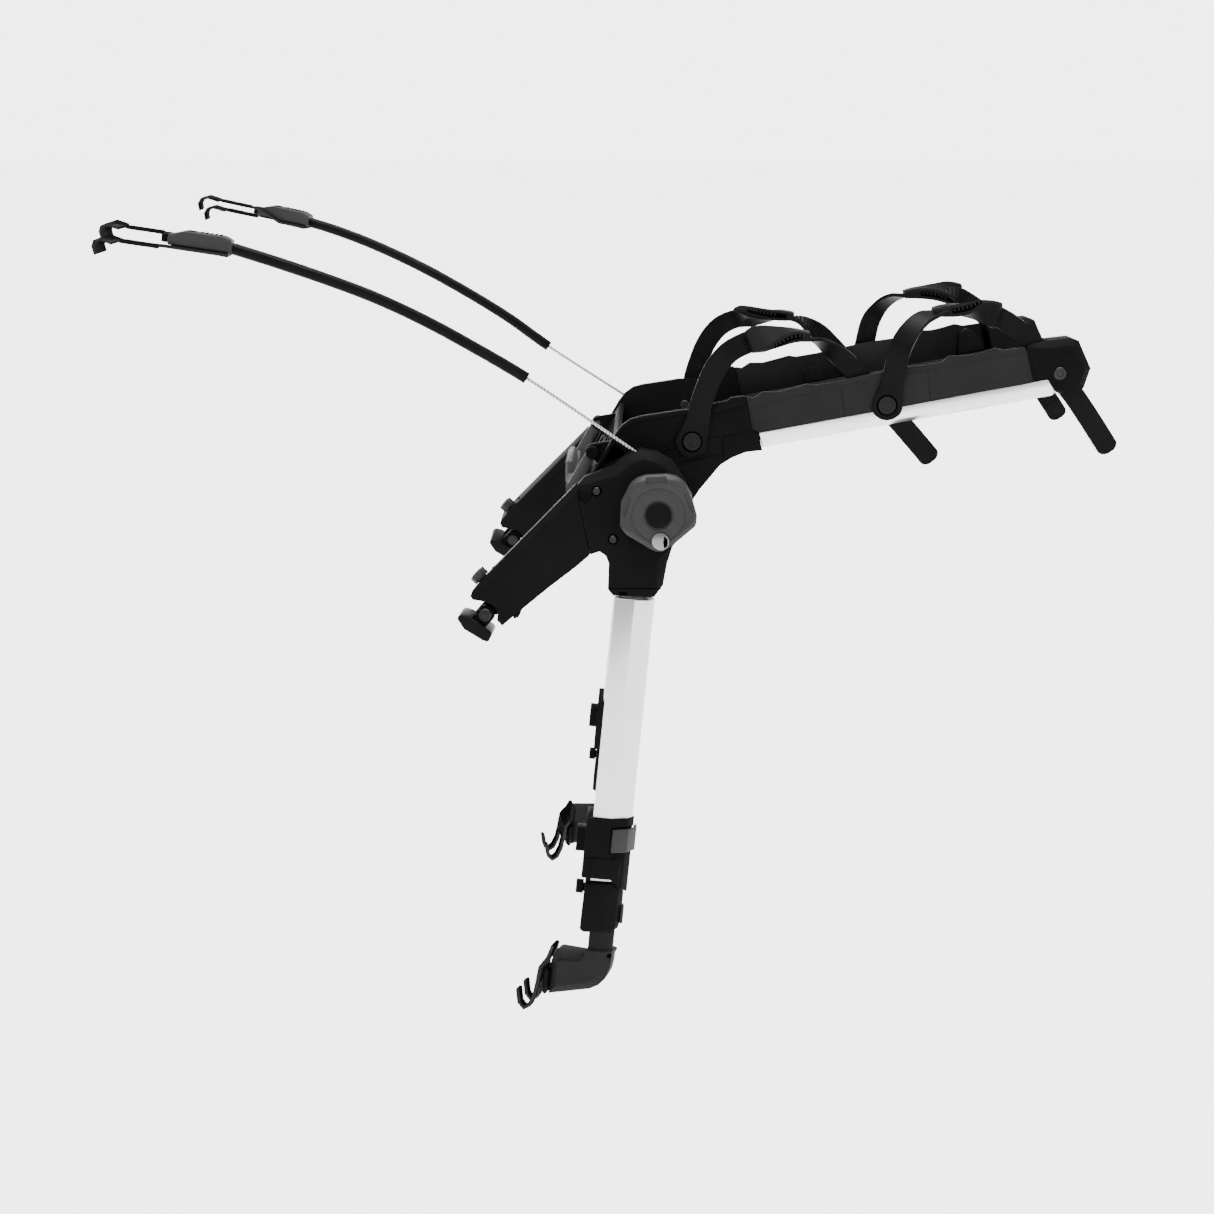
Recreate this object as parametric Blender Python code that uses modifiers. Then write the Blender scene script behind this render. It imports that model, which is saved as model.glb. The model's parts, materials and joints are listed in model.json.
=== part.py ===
"""Strap-on hatch bicycle rack: two splayed side frames joined by a hub axle, and two folding carrier arms.

World frame in metres: the hub axle lies on Y through the origin, arms point to +X, +Z is up.
Outlines are written in millimetres and turned to metres by the functions that use them.
"""

from math import cos, hypot, radians, sin

import bmesh
import bpy
from mathutils import Matrix, Vector

MM = 0.001
MERGE = 0.00001
GAP = 0.3

# side frame placement
FRAME_Y = 191.0
SPLAY = 5.0
PILLAR_X = -13.84
PILLAR_TILT = 5.48
FOOT_AXIS_P = 1.3
TOE_IN = 12.0
SIDES = ((1, "right"), (-1, "left"))

# side frame
FRAME_HALF = 24.0
TOP_CHAMFER = 9.0
REAR_FACET = 10.0
PILLAR_TOP = -86.0
PILLAR_BOTTOM = -307.4
COLLAR_TOP = -307.9
INNER_TOP = -232.0
CLAMP_Q = -384.5
PIVOT = (-169.0, -101.0)
LEG_KNOB = (-173.5, 0.0, -67.6)
KNOB_FACE = 50.0
LOCK = (2.0, -25.0)

# carrier arms
WALL_OUT = 138.0
WALL_IN = 128.0
ARM_IN = 98.0
COVER_IN = 130.0
PADDLE_WIDTH = 30.0
BAND = 22.0
BUCKLED = 27.0
LADDER_WIDTH = 21.0
STRAP_THICK = 4.0
HANDLE_PIVOT = (-67.0, 46.0)
LUG = (100.0, 108.0)

# cables
CABLE_D = 3.0
SLEEVE_D = 11.5

MATERIALS = {
    "black_plastic": ((0.02, 0.02, 0.021), 0.55, 0.0),
    "dark_plastic": ((0.045, 0.046, 0.048), 0.5, 0.0),
    "grey_plastic": ((0.10, 0.105, 0.11), 0.5, 0.0),
    "light_grey_plastic": ((0.17, 0.175, 0.18), 0.5, 0.0),
    "aluminium": ((0.72, 0.73, 0.74), 0.35, 1.0),
    "steel_dark": ((0.10, 0.095, 0.09), 0.4, 1.0),
    "steel_bright": ((0.55, 0.54, 0.52), 0.3, 1.0),
    "rubber": ((0.015, 0.015, 0.015), 0.8, 0.0),
    "cable_coat": ((0.03, 0.03, 0.03), 0.4, 0.0),
}


# ---------------------------------------------------------------- shape tools


def new_object(name, data):
    obj = bpy.data.objects.new(name, data)
    bpy.context.scene.collection.objects.link(obj)
    return obj


def cleaned(mesh):
    work = bmesh.new()
    work.from_mesh(mesh)
    bmesh.ops.remove_doubles(work, verts=work.verts, dist=MERGE)
    bmesh.ops.dissolve_limit(work, angle_limit=radians(0.3), verts=work.verts, edges=work.edges)
    bmesh.ops.recalc_face_normals(work, faces=work.faces)
    work.to_mesh(mesh)
    work.free()
    return mesh


def evaluated(obj):
    """The finished mesh of an object with its modifiers; the object itself is dropped."""
    bpy.context.view_layer.update()
    graph = bpy.context.evaluated_depsgraph_get()
    mesh = bpy.data.meshes.new_from_object(obj.evaluated_get(graph))
    mesh.transform(obj.matrix_world)
    bpy.data.objects.remove(obj)
    return cleaned(mesh)


def flat_solid(outlines, low, high, axis="Y"):
    """Outlines in mm drawn along Y (outline is X,Z) or along Z (outline is X,Y)."""
    curve = bpy.data.curves.new("outline", "CURVE")
    curve.dimensions = "2D"
    curve.fill_mode = "BOTH"
    curve.extrude = (high - low) / 2 * MM
    for outline in outlines:
        spline = curve.splines.new("POLY")
        spline.points.add(len(outline) - 1)
        for point, (a, b) in zip(spline.points, outline):
            point.co = (a * MM, b * MM, 0, 1)
        spline.use_cyclic_u = True
    obj = new_object("outline", curve)
    middle = (low + high) / 2 * MM
    if axis == "Y":
        obj.matrix_world = Matrix.Translation((0, middle, 0)) @ Matrix.Rotation(radians(90), 4, "X")
    else:
        obj.location.z = middle
    return evaluated(obj)


def rod(radius, start, end, segments=24, tip_radius=None):
    """A round bar or cone between two points in mm."""
    first = Vector(start)
    along = Vector(end) - first
    work = bmesh.new()
    bmesh.ops.create_cone(
        work,
        cap_ends=True,
        segments=segments,
        radius1=radius * MM,
        radius2=(radius if tip_radius is None else tip_radius) * MM,
        depth=along.length * MM,
    )
    turn = Vector((0, 0, 1)).rotation_difference(along).to_matrix().to_4x4()
    work.transform(Matrix.Translation((first + along / 2) * MM) @ turn)
    mesh = bpy.data.meshes.new("rod")
    work.to_mesh(mesh)
    work.free()
    return mesh


def box(low, high):
    """A block between two corners in mm."""
    work = bmesh.new()
    bmesh.ops.create_cube(work, size=1)
    size = [(b - a) * MM for a, b in zip(low, high)]
    middle = [(a + b) / 2 * MM for a, b in zip(low, high)]
    bmesh.ops.scale(work, vec=size, verts=work.verts)
    bmesh.ops.translate(work, vec=middle, verts=work.verts)
    mesh = bpy.data.meshes.new("box")
    work.to_mesh(mesh)
    work.free()
    return mesh


def combined(mesh, others, operation):
    obj = new_object("base", mesh)
    tools = []
    for other in others:
        tool = new_object("tool", other)
        tools.append(tool)
        step = obj.modifiers.new("step", "BOOLEAN")
        step.operation = operation
        step.solver = "EXACT"
        step.object = tool
    result = evaluated(obj)
    for tool in tools:
        bpy.data.objects.remove(tool)
    return result


def cut(mesh, *others):
    return combined(mesh, others, "DIFFERENCE")


def joined(mesh, *others):
    return combined(mesh, others, "UNION")


def common(mesh, *others):
    return combined(mesh, others, "INTERSECT")


def bevelled(mesh, width, segments=1, angle=35):
    obj = new_object("base", mesh)
    step = obj.modifiers.new("edge", "BEVEL")
    step.width = width * MM
    step.segments = segments
    step.limit_method = "ANGLE"
    step.angle_limit = radians(angle)
    return evaluated(obj)


def chamfered(mesh, width, wanted):
    """Chamfer the edges for which wanted(middle of the edge in mm, direction) is true."""
    work = bmesh.new()
    work.from_mesh(mesh)
    chosen = []
    for edge in work.edges:
        first, last = (v.co / MM for v in edge.verts)
        if wanted((first + last) / 2, (last - first).normalized()):
            chosen.append(edge)
    bmesh.ops.bevel(work, geom=chosen, offset=width * MM, segments=1, affect="EDGES")
    work.to_mesh(mesh)
    work.free()
    return cleaned(mesh)


def arc(centre, radius, start, end, steps):
    """Points in mm round a centre from one angle to another, in degrees."""
    points = []
    for i in range(steps + 1):
        angle = radians(start + (end - start) * i / steps)
        points.append((centre[0] + radius * cos(angle), centre[1] + radius * sin(angle)))
    return points


def smooth(points, steps):
    """A smooth run through hand-set points; any length of tuple."""
    run = []
    count = len(points)
    for i in range(count - 1):
        a = points[max(i - 1, 0)]
        b = points[i]
        c = points[i + 1]
        d = points[min(i + 2, count - 1)]
        for k in range(steps):
            t = k / steps
            run.append(tuple(catmull(*values, t) for values in zip(a, b, c, d)))
    run.append(tuple(points[-1]))
    return run


def catmull(a, b, c, d, t):
    return 0.5 * (2 * b + (c - a) * t + (2 * a - 5 * b + 4 * c - d) * t**2 + (3 * b - a - 3 * c + d) * t**3)


def wire(points, diameter, sides=2):
    curve = bpy.data.curves.new("wire", "CURVE")
    curve.dimensions = "3D"
    curve.bevel_depth = diameter / 2 * MM
    curve.bevel_resolution = sides
    curve.use_fill_caps = True
    spline = curve.splines.new("POLY")
    spline.points.add(len(points) - 1)
    for point, place in zip(spline.points, points):
        point.co = (*(c * MM for c in place), 1)
    return evaluated(new_object("wire", curve))


def hose(points, diameter, bore):
    """A tube with a bore along the same run."""
    return cut(wire(points, diameter, 3), wire(stretched(points, 2.0), bore, 3))


def stretched(points, extra):
    first = Vector(points[0]) + (Vector(points[0]) - Vector(points[1])).normalized() * extra
    last = Vector(points[-1]) + (Vector(points[-1]) - Vector(points[-2])).normalized() * extra
    return [tuple(first), *points[1:-1], tuple(last)]


def ribbon(stations, thick, extra_width=0.0):
    """Flat band through (x, y, z, twist, width): twist 0 lies on the arm's side, 90 lies level."""
    work = bmesh.new()
    rings = []
    for i, (x, y, z, twist, width) in enumerate(stations):
        before = stations[max(i - 1, 0)]
        after = stations[min(i + 1, len(stations) - 1)]
        run = Vector([b - a for a, b in zip(before[:3], after[:3])]).normalized()
        flat = run.cross(Vector((0, 1, 0))).normalized()
        side = flat * cos(radians(twist)) + Vector((0, 1, 0)) * sin(radians(twist))
        side = (side - run * side.dot(run)).normalized()
        face = run.cross(side).normalized()
        corners = []
        for a, b in ((-1, -1), (1, -1), (1, 1), (-1, 1)):
            offset = side * (a * (width + extra_width) / 2) + face * (b * thick / 2)
            corners.append(work.verts.new((Vector((x, y, z)) + offset) * MM))
        rings.append(corners)
    for first, last in zip(rings, rings[1:]):
        for k in range(4):
            work.faces.new((first[k], first[(k + 1) % 4], last[(k + 1) % 4], last[k]))
    work.faces.new(rings[0])
    work.faces.new(rings[-1])
    bmesh.ops.recalc_face_normals(work, faces=work.faces)
    mesh = bpy.data.meshes.new("ribbon")
    work.to_mesh(mesh)
    work.free()
    return mesh


def fluted(radius, depth, low, high, flutes, axis="Y"):
    """A knob outline with shallow flutes."""
    points = []
    count = flutes * 4
    for i in range(count):
        angle = radians(360 * i / count)
        reach = radius - (depth if i % 4 in (1, 2) else 0)
        points.append((reach * cos(angle), reach * sin(angle)))
    return flat_solid([points], low, high, axis)


def moved(mesh, x=0.0, y=0.0, z=0.0):
    mesh.transform(Matrix.Translation((x * MM, y * MM, z * MM)))
    return mesh


# ---------------------------------------------------------------- placing


def clear_scene():
    for obj in list(bpy.data.objects):
        bpy.data.objects.remove(obj)


def make_material(name):
    colour, rough, metal = MATERIALS[name]
    material = bpy.data.materials.new(name)
    material.use_nodes = True
    shader = material.node_tree.nodes["Principled BSDF"]
    shader.inputs["Base Color"].default_value = (*colour, 1)
    shader.inputs["Roughness"].default_value = rough
    shader.inputs["Metallic"].default_value = metal
    material.diffuse_color = (*colour, 1)
    return material


def make_empty(name, matrix, parent=None):
    empty = bpy.data.objects.new(name, None)
    rack.objects.link(empty)
    empty.parent = parent
    empty.matrix_local = matrix
    return empty


def place(name, mesh, material, parent=None, pivot=(0, 0, 0), soft=False):
    """Put a finished mesh (mm frame of its parent) in the rack with its origin on the pivot."""
    mesh.transform(Matrix.Translation(-Vector(pivot) * MM))
    mesh.name = name
    mesh.materials.clear()
    mesh.materials.append(materials[material])
    obj = bpy.data.objects.new(name, mesh)
    obj.location = Vector(pivot) * MM
    obj.parent = parent
    rack.objects.link(obj)
    if soft:
        for face in mesh.polygons:
            face.use_smooth = True
    return obj


def place_both(stem, mesh, material, parents=None, pivot=(0, 0, 0), soft=False):
    """Right and left copies; the left one is the mirror image across the middle plane."""
    for side, tag in SIDES:
        copy = mesh.copy()
        if side < 0:
            copy.transform(Matrix.Scale(-1, 4, (0, 1, 0)))
            copy.flip_normals()
        parent = parents[side] if parents else None
        place(f"{stem}_{tag}", copy, material, parent, (pivot[0], side * pivot[1], pivot[2]), soft)


# ---------------------------------------------------------------- side frames

HOUSING = [
    (-80, 25), (-72, 34), (-44, 44), (-33, 54), (-17, 61), (-1, 58), (14, 49), (23, 35), (33, 16),
    (34, -2), (14, -33), (9, -50), (5, -72), (-4, -83), (-44, -81), (-49, -75), (-48, -50), (-51, -42),
    (-57, -38), (-66, -41),
]
LEG = [
    (-80.6, 26.5), (-165, -59.5), (-182, -78), (-184, -83), (-181, -86), (-172, -87.3), (-163, -90.5),
    (-158, -95), (-156.8, -101), (-157.5, -106), (-152.5, -111.5), (-134, -96), (-106, -73), (-80, -53),
    (-66.6, -41.4),
]
KNOB = [
    (-28, 28), (-24, 34), (-12, 38), (8, 39), (21, 36), (27, 27), (33, 14), (38, -4), (35, -11),
    (14, -29), (1, -37), (-9, -32), (-34, -17), (-37, -10), (-36, 12),
]
FOOT_PAD = [
    (-197, -104), (-190, -115), (-172, -126), (-166, -128), (-162, -119), (-166, -115.5), (-184, -102.5), (-193, -100),
]


def on_top(outline_low):
    """Edges on the outer or inner face that run along the upper side of an outline."""

    def wanted(middle, direction):
        flat = abs(direction.y) < 0.1
        on_face = abs(abs(middle.y) - FRAME_HALF) < 0.1
        return flat and on_face and middle.z > outline_low(middle.x)

    return wanted


def on_rear(middle, direction):
    """Outer edges of the neck on the side away from the car."""
    return abs(abs(middle.y) - FRAME_HALF) < 0.1 and middle.z < -35 and middle.x > 2 and abs(direction.y) < 0.1


def housing():
    body = flat_solid([HOUSING], -FRAME_HALF, FRAME_HALF)
    body = chamfered(body, TOP_CHAMFER, on_top(lambda x: max(18.0, 22.0 - x * 0.1)))
    body = chamfered(body, REAR_FACET, on_rear)
    pocket = flat_solid([[(-54, 36), (-8, 47), (-8, 75), (-54, 75)]], -6, 12)
    notch = flat_solid([[(-70, 8), (-78, 14), (-77, 22), (-62, 18)]], FRAME_HALF - 3, FRAME_HALF + 3)
    return cut(body, pocket, notch)


def pivot_bore():
    return arc(PIVOT, 4.3, 0, 360, 16)[:-1]


def leg():
    body = flat_solid([LEG], -FRAME_HALF, FRAME_HALF)
    body = chamfered(body, 6.0, on_top(lambda x: x + 98))
    eye = flat_solid([arc(PIVOT, 6.4, 110, 340, 14) + [(-149, -100.5), (-165, -81)], pivot_bore()], -11, 11)
    return joined(body, eye)


def foot_bracket():
    ears = []
    for low, high in ((-20, -11.4), (11.4, 20)):
        outline = arc(PIVOT, 9, -25, 115, 8) + [(-180.2, -101), (-181.9, -103.4), (-168.5, -113.1)]
        ears.append(flat_solid([outline, pivot_bore()], low, high))
    bridge = flat_solid([[(-180.2, -101), (-181.9, -103.4), (-168.5, -113.1), (-166.8, -110.7)]], -20, 20)
    return joined(bridge, *ears)


def foot_screw():
    shank = rod(3.9, (PIVOT[0], -21, PIVOT[1]), (PIVOT[0], 21, PIVOT[1]), 16)
    heads = []
    for low, high in ((-24.5, -20.5), (20.5, 24.5)):
        heads.append(rod(6.0, (PIVOT[0], low, PIVOT[1]), (PIVOT[0], high, PIVOT[1]), 16))
    return joined(shank, *heads)


def leg_knob():
    knob = fluted(8.8, 0.8, 0, 8.0, 8, "Z")
    knob.transform(Matrix.Rotation(radians(-47.4), 4, "Y"))
    return moved(knob, *LEG_KNOB)


def tension_knob():
    body = bevelled(flat_solid([KNOB], FRAME_HALF + GAP, KNOB_FACE), 4.0)
    well = rod(9.0, (LOCK[0], KNOB_FACE - 10, LOCK[1]), (LOCK[0], KNOB_FACE + 5, LOCK[1]))
    return cut(body, well)


def knob_lock():
    return rod(8.5, (LOCK[0], KNOB_FACE - 9.7, LOCK[1]), (LOCK[0], KNOB_FACE + 1.5, LOCK[1]))


def scaled(points, factor):
    return [(a * factor, b * factor) for a, b in points]


PILLAR = [(-20, 22.5), (-0.4, 22.5), (13.6, 13.5), (19.1, 4)]
COLLAR = [(-26, 25.5), (1, 25.5), (15, 16), (20.8, 5)]
CUP = [(-22.5, 22.5), (0.7, 22.5), (12.5, 14.5), (17.7, 5)]
STEM = [(-11.5, 13), (-1, 13), (9, 7), (11.5, 3)]


def mirrored(points):
    return points + [(a, -b) for a, b in reversed(points)]


def pillar():
    outer = mirrored(PILLAR)
    return flat_solid([outer, scaled(outer, 0.86)], PILLAR_BOTTOM, PILLAR_TOP, "Z")


def inner_tube():
    return flat_solid([scaled(mirrored(PILLAR), 0.82)], -372.9, INNER_TOP, "Z")


def lower_collar():
    section = flat_solid([mirrored(COLLAR), scaled(mirrored(PILLAR), 0.86)], -390, COLLAR_TOP, "Z")
    side = [
        (-30, -300), (30, -300), (30, -343), (21.6, -382), (20, -384), (18.6, -382.6), (5.5, -370.9), (2, -368.4),
        (-30, -368.4),
    ]
    body = common(section, flat_solid([side], -30, 30))
    latch = box((-34.5, -9, -346), (-25.5, 9, -322))
    pocket_section = [(-0.6, 31), (-0.6, 23.6), (14, 14.4), (18.8, 4), (18.8, -6.6), (26, -6.6), (26, 31)]
    pocket = flat_solid([pocket_section], -341.0, -315.8, "Z")
    return cut(joined(body, latch), pocket)


def release_button():
    section = [(0, 26), (1.5, 29), (16.5, 19.5), (24.3, 6), (24.3, -6), (21.2, -6), (21.2, 5.1), (15.3, 16.4)]
    return bevelled(flat_solid([section + [(1.2, 26)]], -340.2, -316.6, "Z"), 0.8)


def cup():
    side = [
        (-21.8, -374.6), (4.5, -373.3), (17.7, -385.1), (17.6, -415.2), (15.3, -422.5), (-18.6, -425.7),
        (-22.7, -423.1),
    ]
    return common(flat_solid([mirrored(CUP)], -430, -370, "Z"), flat_solid([side], -25, 25))


def clamp_knob():
    knob = fluted(7.2, 0.6, 0, 7.5, 8, "Z")
    knob.transform(Matrix.Rotation(radians(-90), 4, "Y"))
    return moved(knob, -23.0, 0, CLAMP_Q)


ELBOW = [
    (-12.5, -446), (13, -446), (13, -458), (11.6, -468), (8, -476.5), (2, -483.5), (-6, -488.5), (-20, -492.5),
    (-48.3, -500.5),
    (-48.3, -464), (-17.6, -460), (-13.4, -451.5),
]
TOP_PLATE = [(-46.5, -466), (-46.5, -457.5), (-43, -455), (-17, -455), (-15, -457), (-15, -464)]
HOOK = [
    (-48.2, -450), (-50.6, -461.3), (-57.2, -472), (-58.5, -487.6), (-60.5, -502), (-64.5, -512.5), (-70, -517),
    (-75.5, -511.5), (-78.3, -497.7),
]
LOWER_FACET = 9.0
HOOK_HALF = 2.0
HOOK_FACE = [(-8, -445), (8, -445), (20, -466), (20, -530), (-20, -530), (-20, -466)]


def on_sole(middle, direction):
    """Lower outer edges of the bent foot."""
    below = middle.z < -467 + (middle.x + 48) * 0.25
    return abs(abs(middle.y) - 18) < 0.1 and abs(direction.y) < 0.1 and below and middle.z < -450


def lower_foot():
    stem = flat_solid([mirrored(STEM)], -450, -426.2, "Z")
    elbow = chamfered(flat_solid([ELBOW], -18, 18), LOWER_FACET, on_sole)
    return joined(elbow, flat_solid([TOP_PLATE], -17, 14), stem)


def foot_cap():
    return bevelled(box((-53, -18, -499.5), (-48.7, 18, -473)), 1.5)


def foot_hook():
    """A bent plate with two prongs and three slots."""
    back = [(x - HOOK_HALF * nx, z - HOOK_HALF * nz) for x, z, nx, nz in offsets(HOOK)]
    front = [(x + HOOK_HALF * nx, z + HOOK_HALF * nz) for x, z, nx, nz in offsets(HOOK)]
    plate = flat_solid([back + front[::-1]], -20, 20)
    face = flat_solid([HOOK_FACE], 0, 100)
    face.transform(Matrix.Rotation(radians(90), 4, "Z"))
    plate = common(plate, face)
    fork = box((-90, -8, -530), (-52, 8, -490))
    slots = [box((-70, low, -484), (-50, low + 5, -474)) for low in (-13, -2.5, 8)]
    return cut(plate, fork, *slots)


def offsets(points):
    """Each point with the unit normal of the run there."""
    result = []
    for i, (x, z) in enumerate(points):
        before = points[max(i - 1, 0)]
        after = points[min(i + 1, len(points) - 1)]
        length = hypot(after[0] - before[0], after[1] - before[1])
        result.append((x, z, -(after[1] - before[1]) / length, (after[0] - before[0]) / length))
    return result


def build_side_frames(frames, pillars, feet):
    place_both("housing", housing(), "black_plastic", frames)
    place_both("leg", leg(), "black_plastic", frames)
    place_both("leg_knob", leg_knob(), "grey_plastic", frames, LEG_KNOB)
    place_both("foot_bracket", foot_bracket(), "black_plastic", frames, (PIVOT[0], 0, PIVOT[1]))
    pad = bevelled(flat_solid([FOOT_PAD], -26, 26), 1.5)
    place_both("foot_pad", pad, "rubber", frames, (PIVOT[0], 0, PIVOT[1]))
    place_both("foot_screw", foot_screw(), "steel_dark", frames, (PIVOT[0], 0, PIVOT[1]))
    place_both("tension_knob", tension_knob(), "grey_plastic", frames)
    place_both("knob_lock", knob_lock(), "steel_bright", frames, (LOCK[0], 0, LOCK[1]))
    place_both("pillar", pillar(), "aluminium", pillars)
    place_both("inner_tube", inner_tube(), "aluminium", pillars)
    place_both("lower_collar", lower_collar(), "black_plastic", pillars)
    place_both("release_button", release_button(), "grey_plastic", pillars)
    place_both("cup", cup(), "black_plastic", pillars)
    place_both("clamp_knob", clamp_knob(), "black_plastic", pillars, (0, 0, CLAMP_Q))
    place_both("lower_foot", lower_foot(), "dark_plastic", feet)
    place_both("foot_cap", foot_cap(), "rubber", feet)
    place_both("foot_hook", foot_hook(), "steel_dark", feet)


# ---------------------------------------------------------------- middle pieces

BRACKET = [
    (-76, 8), (-64, 32), (-44, 67), (-37, 76), (-28, 82.5), (-17, 85.5), (24, 92), (48, 92), (48, 97), (68, 101),
    (72, 104), (85, 106), (87, 104), (93, 73), (99.9, 69.2), (104, 52), (87, 50), (73, 44), (62, 37), (41, 11),
    *arc((0, 0), 34, 0, -150, 6), (-70, 2),
]
WALL_WINDOW = [(-54, 39), (-47, 55), (-42, 57), (-33, 48), (-34, 46), (-52, 37.5)]
SOCKET = [(60, 36), (73, 44), (87, 50), (104, 52), (99.9, 69.2), (93, 73), (60, 66)]


def lattice():
    """The slanted plate between the walls, with a row of windows."""
    plate = flat_solid([[(-42, 66), (-72, 13), (-68, 11), (-38, 64)]], -WALL_IN - 2, WALL_IN + 2)
    windows = []
    for column in (-96, -56, -16, 24, 64):
        windows.append(flat_solid([[(-80, 24), (-50, 24), (-44, 33), (-80, 33)]], column, column + 32))
        windows.append(flat_solid([[(-80, 38), (-44, 38), (-34, 58), (-80, 58)]], column, column + 32))
    return cut(plate, *windows)


def arm_bracket():
    walls = []
    for low, high in ((WALL_IN, WALL_OUT), (-WALL_OUT, -WALL_IN)):
        walls.append(flat_solid([BRACKET, WALL_WINDOW], low, high))
    sockets = [flat_solid([SOCKET], ARM_IN, WALL_IN + 2), flat_solid([SOCKET], -WALL_IN - 2, -ARM_IN)]
    lugs = []
    for low, high in (LUG, (-LUG[1], -LUG[0])):
        lugs.append(flat_solid([arc(HANDLE_PIVOT, 7, 100, 270, 8) + [(-58, 30), (-44, 57)]], low, high))
    hub = rod(24, (0, -WALL_IN - 2, 0), (0, WALL_IN + 2, 0), 24)
    web = flat_solid([[(-68, 15), (-10, 15), (-10, 21), (-68, 21)]], -WALL_IN - 2, WALL_IN + 2)
    body = joined(walls[0], walls[1], *sockets, lattice(), web, *lugs, hub)
    bore = rod(14.4, (0, -200, 0), (0, 200, 0), 24)
    px, pz = HANDLE_PIVOT
    pin_bores = [rod(3.4, (px, 90, pz), (px, 120, pz), 12), rod(3.4, (px, -120, pz), (px, -90, pz), 12)]
    return cut(body, bore, *pin_bores)


def hub_axle():
    shaft = rod(14, (0, -164, 0), (0, 164, 0), 24)
    collars = [rod(20, (0, 138.4, 0), (0, 164, 0), 24), rod(20, (0, -164, 0), (0, -138.4, 0), 24)]
    return joined(shaft, *collars)


def release_handle():
    px, pz = HANDLE_PIVOT
    arms = []
    for low, high in ((110, 116), (-116, -110)):
        outline = [*arc(HANDLE_PIVOT, 5.5, -20, 150, 6), (-94, 10), (-93, 3), (-87, 2)]
        arms.append(flat_solid([outline], low, high))
    bar = flat_solid([[(-94, 14), (-94, 5), (-92, 2.5), (-87.5, 2.5), (-85, 6), (-86, 14)]], -113, 113)
    grip = flat_solid([[(-96, 26), (-97, 5), (-92, 1), (-87, 1), (-85, 5), (-89.5, 27), (-93, 28)]], -50, 50)
    pins = [rod(3, (px, 101, pz), (px, 113, pz), 12), rod(3, (px, -113, pz), (px, -101, pz), 12)]
    return joined(bar, bevelled(grip, 1.5), *arms, *pins)


# ---------------------------------------------------------------- carrier arms

COVER_TOP = [
    (87.4, 105.2), (94, 104), (99, 107), (103, 110), (117, 110), (129, 113), (147, 118), (156, 117), (179, 121),
    (219, 130), (245, 135), (260, 137), (280, 140), (287, 146), (307, 147), (319, 150), (332, 154), (341, 152),
    (361, 155), (363, 151),
]
COVER_LOW = [(371, 120.9), (100.4, 69.8), (93.4, 73.2)]
RAIL = [(100.4, 69.3), (385.3, 123.2), (392.6, 110.6), (391, 106.9), (104.5, 54.0)]
CAP = [
    (363.3, 155.6), (366, 157), (380, 161), (407, 164), (415, 161), (428, 134), (422, 114), (398, 108.5),
    (393.3, 112.2), (386, 124.0), (371.5, 121.3), (363.5, 151),
]
ARM_PLANE = 118.0
LADDER_PLANE = 126.0
STRAP_FRONT = [
    (29, 140.8, 47, 180, PADDLE_WIDTH), (33, 140.8, 61, 180, PADDLE_WIDTH), (39, 141, 82, 180, 24),
    (42.5, 141.5, 100, 180, BAND), (53.5, 141.5, 129.5, 180, BAND), (67.5, 140.5, 148.5, 176, BAND),
    (84, 138, 158, 160, BAND), (100, 128, 161.5, 118, 25), (115, 119, 162, 94, BUCKLED),
    (148, 118, 161, 90, BAND), (165, 121, 155, 55, LADDER_WIDTH), (180, 124, 144.5, 22, LADDER_WIDTH),
    (191, 126, 134, 0, LADDER_WIDTH), (204, 126, 120.5, 0, LADDER_WIDTH), (228, 126, 94, 0, LADDER_WIDTH),
    (252, 126, 67.5, 0, LADDER_WIDTH), (276, 126, 40, 0, LADDER_WIDTH),
]
STRAP_REAR = [
    (226, 140.8, 84, 180, PADDLE_WIDTH), (227, 140.8, 98, 180, PADDLE_WIDTH), (230.5, 141, 118, 180, 23),
    (233, 141.5, 131.5, 180, BAND), (238.5, 141.5, 156, 165, BAND), (249.5, 137, 174, 138, BAND),
    (262, 129, 184, 114, 23), (276, 121, 187.5, 92, BUCKLED), (300, 118, 190, 90, BUCKLED),
    (311, 118, 190.5, 87, BUCKLED), (323, 120, 189, 60, 24), (337, 122, 183.5, 25, LADDER_WIDTH),
    (356, 125, 170.5, 5, LADDER_WIDTH), (374, 126, 154, 0, LADDER_WIDTH), (394, 126, 130, 0, LADDER_WIDTH),
    (414, 126, 106, 0, LADDER_WIDTH), (434, 126, 78, 0, LADDER_WIDTH), (453, 126, 50, 0, LADDER_WIDTH),
]
CAP_CHAMFER = 7.0
SLOT_EXTRA = 4.0
SLOT_THICK = 7.0


def slot(stations):
    """Passage for the flat run at the free end of a strap."""
    flat = [station for station in stations if station[0] > stations[0][0] + 100 and station[3] < 10]
    return ribbon(smooth(flat, 2), SLOT_THICK, SLOT_EXTRA)


def arm_cover():
    """Outer wall, floor and low inner lip of the arm's plastic body."""
    body = flat_solid([COVER_TOP + COVER_LOW], ARM_IN, WALL_OUT)
    above_floor = flat_solid([[(60, 66.2), (400, 130.4), (400, 200), (60, 200)]], ARM_IN + 5, COVER_IN)
    above_lip = flat_solid([[(60, 70.2), (400, 134.4), (400, 200), (60, 200)]], ARM_IN - 2, ARM_IN + 7)
    return cut(body, above_floor, above_lip, slot(STRAP_FRONT))


def arm_rail():
    bar = flat_solid([RAIL], ARM_IN, WALL_OUT)
    bar = chamfered(bar, 7.0, lambda middle, run: middle.z < 55 + (middle.x - 104.5) * 0.1847 and abs(run.x) > 0.9)
    return cut(bar, slot(STRAP_FRONT))


def on_cap_rim(middle, direction):
    on_side = abs(middle.y - WALL_OUT) < 0.1 or abs(middle.y - ARM_IN) < 0.1
    return on_side and middle.x > 372 and (middle.z > 158 or middle.x > 400)


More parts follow.
